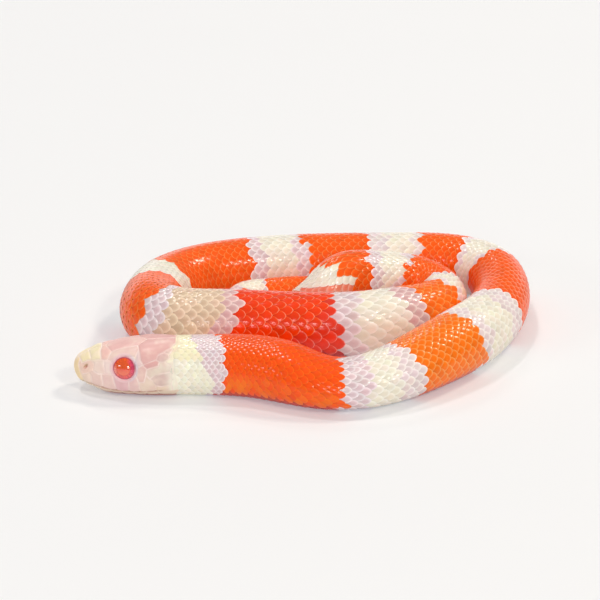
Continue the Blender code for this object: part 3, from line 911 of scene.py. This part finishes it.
def scale_template():
    """One scale as a closed plate of radius 1: the places of its points, and its faces."""
    bm = bmesh.new()
    bmesh.ops.create_circle(bm, cap_ends=True, segments=12, radius=1.0)
    for ring in (0.135, 0.25):
        faces = [face for face in bm.faces if len(face.verts) == 12]
        bmesh.ops.inset_region(bm, faces=faces, thickness=ring, use_boundary=True, use_even_offset=False)
    top = [face for face in bm.faces if len(face.verts) == 12]
    bmesh.ops.poke(bm, faces=top)
    rim = [edge for edge in bm.edges if edge.is_boundary]
    grown = bmesh.ops.extrude_edge_only(bm, edges=rim)
    under = [item for item in grown["geom"] if isinstance(item, bmesh.types.BMVert)]
    bmesh.ops.translate(bm, verts=under, vec=(0, 0, -1))
    bmesh.ops.holes_fill(bm, edges=[edge for edge in bm.edges if edge.is_boundary], sides=12)
    return template_data(bm)


def belly_template():
    """One belly plate as a closed grid, two long and ten across: places of its points, and faces."""
    bm = bmesh.new()
    bmesh.ops.create_grid(bm, x_segments=2, y_segments=10, size=1.0)
    bmesh.ops.solidify(bm, geom=bm.faces, thickness=1.0)
    return template_data(bm)


def template_data(bm):
    bmesh.ops.recalc_face_normals(bm, faces=bm.faces)
    bm.verts.index_update()
    places = np.array([vert.co for vert in bm.verts])
    faces = [[vert.index for vert in face.verts] for face in bm.faces]
    bm.free()
    return places, faces


class ScaleShape:
    """The form of one scale: a blunt blade whose front end lies under the scales before it."""

    FRONT = 0.86                # reach before its middle, in scale lengths
    REAR = 0.59
    HALF_WIDTH = 0.97           # in rows
    SQUARENESS = 1.65           # 1 is a diamond, 2 an ellipse
    SPOT_MIDDLE = 0.08          # the darker spot inside its rim, in the same measures
    SPOT_LENGTH = 0.26
    SPOT_WIDTH = 0.44
    SPOT_RIM = 0.60             # share of the way out from the scale's middle where the spot ends

    def __init__(self):
        places, self.faces = scale_template()
        x, y = places[:, 0], places[:, 1]
        under = places[:, 2] < -0.5
        reach = np.hypot(x, y)
        safe = np.maximum(reach, 1e-9)
        cos, sin = x / safe, y / safe
        power = self.SQUARENESS
        edge = (np.abs(cos) ** power + np.abs(sin) ** power) ** (-1 / power)
        self.rim = np.clip(reach, 0, 1)
        inner = np.minimum(self.rim / self.SPOT_RIM, 1)
        outer = np.clip((self.rim - self.SPOT_RIM) / (1 - self.SPOT_RIM), 0, 1)
        spot_x = self.SPOT_MIDDLE + inner * cos * self.SPOT_LENGTH
        spot_y = inner * sin * self.SPOT_WIDTH
        self.x = spot_x + outer * (edge * cos * np.where(cos > 0, self.REAR, self.FRONT) - spot_x)
        self.y = spot_y + outer * (edge * sin * self.HALF_WIDTH - spot_y)
        self.x[under] *= 0.92
        self.y[under] *= 0.92
        slope = (self.x + self.FRONT) / (self.FRONT + self.REAR)
        self.lift = -SKIN_DEPTH + 0.015 + SCALE_RISE * slope
        dome = SCALE_DOME * (1 - 0.2 * inner**2 - 0.8 * outer**1.3)
        self.lift += dome * smooth(-0.60, -0.15, self.x)
        self.lift -= np.where(under, SCALE_THICKNESS, 0.0)


class BellyShape:
    """The form of one belly plate, whose front edge lies under the plate before it."""

    def __init__(self):
        places, self.faces = belly_template()
        x, y = places[:, 0], places[:, 1]
        under = places[:, 2] < places[:, 2].mean()
        self.y = y
        self.x = np.where(x > 0, 0.58 * x, 0.70 * x) - 0.22 * y**4
        slope = (x + 1) / 2
        self.rim = np.where(x > 0.5, 1.0, 0.0)
        self.lift = -0.09 + 0.085 * slope - np.where(under, 0.04, 0.0)


def scale_places(body):
    """Where every scale of the body lies: distance along, angle round, length, angle of one row."""
    hop = 0.05
    fine = np.arange(-1.0, body.length, hop)
    number = np.concatenate(([0.0], np.cumsum(hop / read_table(SCALE_LENGTH, fine)[:-1])))
    reach = np.pi - math.radians(BELLY_ARC) / 2
    ends = [start for start, _ in SCALE_ROWS[1:]] + [body.length - 0.3]
    found = []
    for (start, rows), end in zip(SCALE_ROWS, ends):
        for row in range(rows):
            share = (2 * row + 1) / rows - 1
            angle = np.pi / 2 + reach * ((1 - ROW_SPREAD) * share + ROW_SPREAD * share**3)
            step = 2 * reach / rows * (1 - ROW_SPREAD + 3 * ROW_SPREAD * share**2)
            begin = start
            if start == 0:
                down = ROUTE[0][3] * abs(math.remainder(angle - np.pi / 2, 2 * np.pi))
                begin = read_table(COAT_FRONT, down) - HEAD_LENGTH + 0.3
            for i in range(int(number[-1]) + 1):
                place = np.interp(i + 0.5 * (row % 2), number, fine)
                if begin <= place < end:
                    found.append((place, angle, read_table(SCALE_LENGTH, place), step))
    return np.array(found)


def joined_plates(name, points, faces):
    """One mesh of many like plates: points has a row for each plate."""
    count, size = points.shape[:2]
    loops = np.concatenate([np.array(face) for face in faces])
    sizes = np.array([len(face) for face in faces])
    all_loops = (loops[None, :] + np.arange(count)[:, None] * size).ravel()
    all_sizes = np.tile(sizes, count)
    mesh = bpy.data.meshes.new(name)
    mesh.vertices.add(count * size)
    mesh.vertices.foreach_set("co", in_frame(points).ravel())
    mesh.loops.add(len(all_loops))
    mesh.loops.foreach_set("vertex_index", all_loops)
    mesh.polygons.add(len(all_sizes))
    mesh.polygons.foreach_set("loop_start", np.concatenate(([0], np.cumsum(all_sizes)[:-1])))
    mesh.update(calc_edges=True)
    mesh.shade_smooth()
    mesh.set_sharp_from_angle(angle=math.radians(42))
    return mesh


def set_bake_map(mesh, across, up, root_along, root_angle, body):
    """A small patch for each plate, at its root's place on the unrolled skin."""
    patch = 0.003
    u = 0.01 + 0.98 * np.clip(root_along / body.length, 0, 1)
    v = 0.01 + 0.98 * ((root_angle + np.pi / 2) % (2 * np.pi)) / (2 * np.pi)
    places = np.stack((u[:, None] + patch * across, v[:, None] + patch * up), -1).reshape(-1, 2)
    layer = mesh.uv_layers.new(name="OFBake")
    corners = np.zeros(len(mesh.loops), int)
    mesh.loops.foreach_get("vertex_index", corners)
    layer.data.foreach_set("uv", places[corners].ravel())


def plate_colours(index, shape, shade):
    """Colours of the points of many plates, from their bands: painted shade on the front part, a paler rim
    that is partly painted highlight, and a painted glint at the tip.
    """
    spread = np.array([RIM_SHARES.get(name, PALE_RIM_SHARE) for name in BAND_COLOURS])[index][:, None]
    # the rim is partly a paler edge and partly painted highlight, where the rear edge catches the light
    near = np.interp(shape.rim, (0.62, 0.86), (0, 1))
    outmost = np.interp(shape.rim, (0.87, 1.0), (0, 1))
    share = near * spread + outmost * (1 - spread)
    paler = np.where(spread > 0.8, 0.25, 0.0) * np.interp(shape.rim, (0, 0.6), (0, 1))
    share = share + (1 - share) * paler
    spot, rim, tip = (band_colours(index, layer)[:, None, :] for layer in (0, 1, 3))
    # painted glint at each plate's tip
    glint_share = outmost * smooth(0.3, 0.58, shape.x)
    colours = blend(blend(spot, rim, share), tip, glint_share[None])
    # painted shade on the front part of each plate, which lies under the plate before it
    front = 1 - 0.20 * smooth(0.10, -0.50, shape.x)
    return np.clip(colours * front[None, :, None] * shade[:, None, :], 0, 1)


def belly_shaded(colours, names, share):
    """The plates of each band mixed with the painted shade that its colour darkens to at the belly."""
    for band, tone in BELLY_SHADE.items():
        colours = tinted(colours, tone, np.where(names == band, share, 0.0)[:, None])
    return colours


def build_plates(name, body, shape, rows, colours, material):
    """One piece of like plates. Of each, rows has its place along the body, angle, length and turn."""
    place, angle, length, turn = rows
    along = place[:, None] + shape.x * length[:, None]
    round_body = angle[:, None] + shape.y * turn[:, None]
    lift = shape.lift * read_table(SCALE_RELIEF, place)[:, None]
    mesh = joined_plates(name, body.surface(along, round_body, lift), shape.faces)
    set_colours(mesh, colours.reshape(-1, 3))
    set_bake_map(mesh, shape.x, shape.y / 2, place, angle, body)
    add_piece(mesh, name, material)


def build_scales(body, material):
    shape = ScaleShape()
    rng = np.random.default_rng(7)
    found = scale_places(body)
    for name, start, end in SCALE_PIECES:
        place, angle, length, step = found[(found[:, 0] >= start) & (found[:, 0] < end)].T
        count = len(place)
        index = band_index(place, angle, rng.normal(0.0, BORDER_JITTER, count) * length)
        index = np.where((index == 0) & (np.sin(angle) < 0.55), len(BANDS), index)
        # inside a bend the rows are squeezed, and the scales keep a part of their length
        stretch = np.clip(body.stretch(place, angle), 0.25, 1)
        size = length * stretch ** -0.30
        shade = 1 + rng.normal(0.0, 0.035, (count, 1)) + rng.normal(0.0, 0.015, (count, 3))
        colours = plate_colours(index, shape, shade)
        names = BAND_COLOURS[index]
        height = np.sin(angle)
        low = smooth(0.35, -0.35, height) * rng.uniform(0.0, 0.6, count)
        colours = tinted(colours, YELLOWED, np.where(names == "orange", low, 0.0)[:, None])
        # painted shade on the lowest rows of scales, near the floor
        colours = belly_shaded(colours, names, BELLY_SHADE_SHARE * smooth(-0.52, -0.66, height))
        build_plates(name, body, shape, (place, angle, size, step), colours, material)


def build_belly(body, material):
    """The broad plates of the belly, and behind the vent two rows of narrower ones."""
    shape = BellyShape()
    rng = np.random.default_rng(11)
    rows = []
    along = -0.4
    while along < body.length - 0.8:
        length = read_table(SCALE_LENGTH, along)
        if along < VENT:
            rows.append((along, -np.pi / 2, length, math.radians(BELLY_ARC / 2 + 4)))
        else:
            half = math.radians(BELLY_ARC / 4 + 2)
            rows.append((along, -np.pi / 2 - half, length, half + 0.02))
            rows.append((along + length / 2, -np.pi / 2 + half, length, half + 0.02))
        along += length
    rows = np.array(rows).T
    index = band_index(rows[0], rows[1], 0.0)
    colours = plate_colours(index, shape, 1 + rng.normal(0.0, 0.03, (len(index), 1)))
    # painted shade on the belly plates, near the floor
    colours = belly_shaded(colours, BAND_COLOURS[index], BELLY_SHADE_SHARE)
    build_plates("belly_plates", body, shape, rows, colours, material)


def build_floor():
    bm = bmesh.new()
    bmesh.ops.create_grid(bm, x_segments=1, y_segments=1, size=3.0)
    mesh = finished_mesh(bm, "floor")
    material = bpy.data.materials.new("floor_white")
    material.use_nodes = True
    shader = material.node_tree.nodes["Principled BSDF"]
    shader.inputs["Base Color"].default_value = (0.70, 0.675, 0.65, 1)
    shader.inputs["Emission Color"].default_value = (0.80, 0.88, 1.0, 1)
    shader.inputs["Emission Strength"].default_value = 0.25
    shader.inputs["Roughness"].default_value = 0.8
    shader.inputs["Specular IOR Level"].default_value = 0.2
    mesh.materials.append(material)
    place_in_scene("floor", mesh)


WHITE = (1.0, 1.0, 1.0)
WARM = (1.0, 0.95, 0.84)
LIGHTS = (
    # name, direction from the coil, distance, width, height, power, colour
    ("key_above", (-0.25, 0.20, 0.95), 1.0, 0.11, 0.11, 1.9, WHITE),
    ("soft_front", (-0.12, -0.62, 0.78), 1.0, 1.20, 1.20, 1.35, WHITE),
    ("right", (0.55, 0.31, 0.78), 1.0, 0.17, 0.17, 2.9, WARM),
    ("back", (-0.17, 0.68, 0.71), 1.0, 0.10, 0.10, 0.8, WHITE),
    ("right_front", (0.47, -0.57, 0.67), 1.0, 0.14, 0.14, 2.1, WARM),
    ("front", (-0.10, -0.87, 0.47), 1.0, 0.14, 0.14, 1.0, WHITE),
    ("left", (-0.78, -0.49, 0.39), 1.0, 0.16, 0.16, 0.8, WHITE),
    ("low_front", (-0.06, -0.95, 0.30), 1.0, 0.14, 0.14, 0.45, WHITE),
    ("back_wall", (-0.10, 0.99, 0.11), 1.2, 2.40, 0.26, 3.0, WHITE),
)


def aim(obj, target, direction, distance):
    """Puts a light or the camera off the target in a direction, and turns it to face the target."""
    way = Vector(direction).normalized()
    obj.location = target + way * distance
    obj.rotation_euler = way.to_track_quat("Z", "Y").to_euler()


def build_lights(target):
    for name, direction, distance, width, height, power, colour in LIGHTS:
        data = bpy.data.lights.new(name, "AREA")
        data.shape = "ELLIPSE" if width == height else "RECTANGLE"
        data.size = width
        data.size_y = height
        data.energy = power
        data.color = colour
        light = place_in_scene(name, data)
        light.visible_glossy = name != "soft_front"   # so broad a light would veil the reds
        aim(light, target, direction, distance)
    world = bpy.data.worlds.new("white_room")
    world.use_nodes = True
    background = world.node_tree.nodes["Background"]
    background.inputs["Color"].default_value = (0.97, 0.98, 1.0, 1)
    background.inputs["Strength"].default_value = 0.27
    bpy.context.scene.world = world


CAMERA_ELEVATION = 24
CAMERA_DISTANCE = 300 * MM
CAMERA_LENS = 144
SENSOR_WIDTH = 36


def build_camera(target):
    data = bpy.data.cameras.new("camera")
    data.lens = CAMERA_LENS
    data.sensor_width = SENSOR_WIDTH
    data.clip_start = 0.01
    data.clip_end = 20
    camera = place_in_scene("camera", data)
    rise = math.radians(CAMERA_ELEVATION)
    aim(camera, target, (0, -math.cos(rise), math.sin(rise)), CAMERA_DISTANCE)
    bpy.context.scene.camera = camera


def main():
    target = Vector((-CENTRE[0], -CENTRE[1], 0)) * MM
    bpy.context.scene.view_settings.view_transform = "Standard"
    build_camera(target)
    build_lights(target)
    build_floor()
    body = Body(ROUTE)
    head = Head(HEAD_SIDES, HEAD_RING_STEP, HEAD_LENGTH + 0.1)
    sites = [EyeSite(head, 1), EyeSite(head, -1)]
    grain = grain_group()
    skin, scales, eyes = (snake_material(name, grain, *finish) for name, finish in FINISHES.items())
    build_skin(body, head, sites, skin)
    build_eye("eye_left_dome", sites[0], eyes, 3)
    build_eye("eye_right_dome", sites[1], eyes, 4)
    build_scales(body, scales)
    build_belly(body, scales)


main()
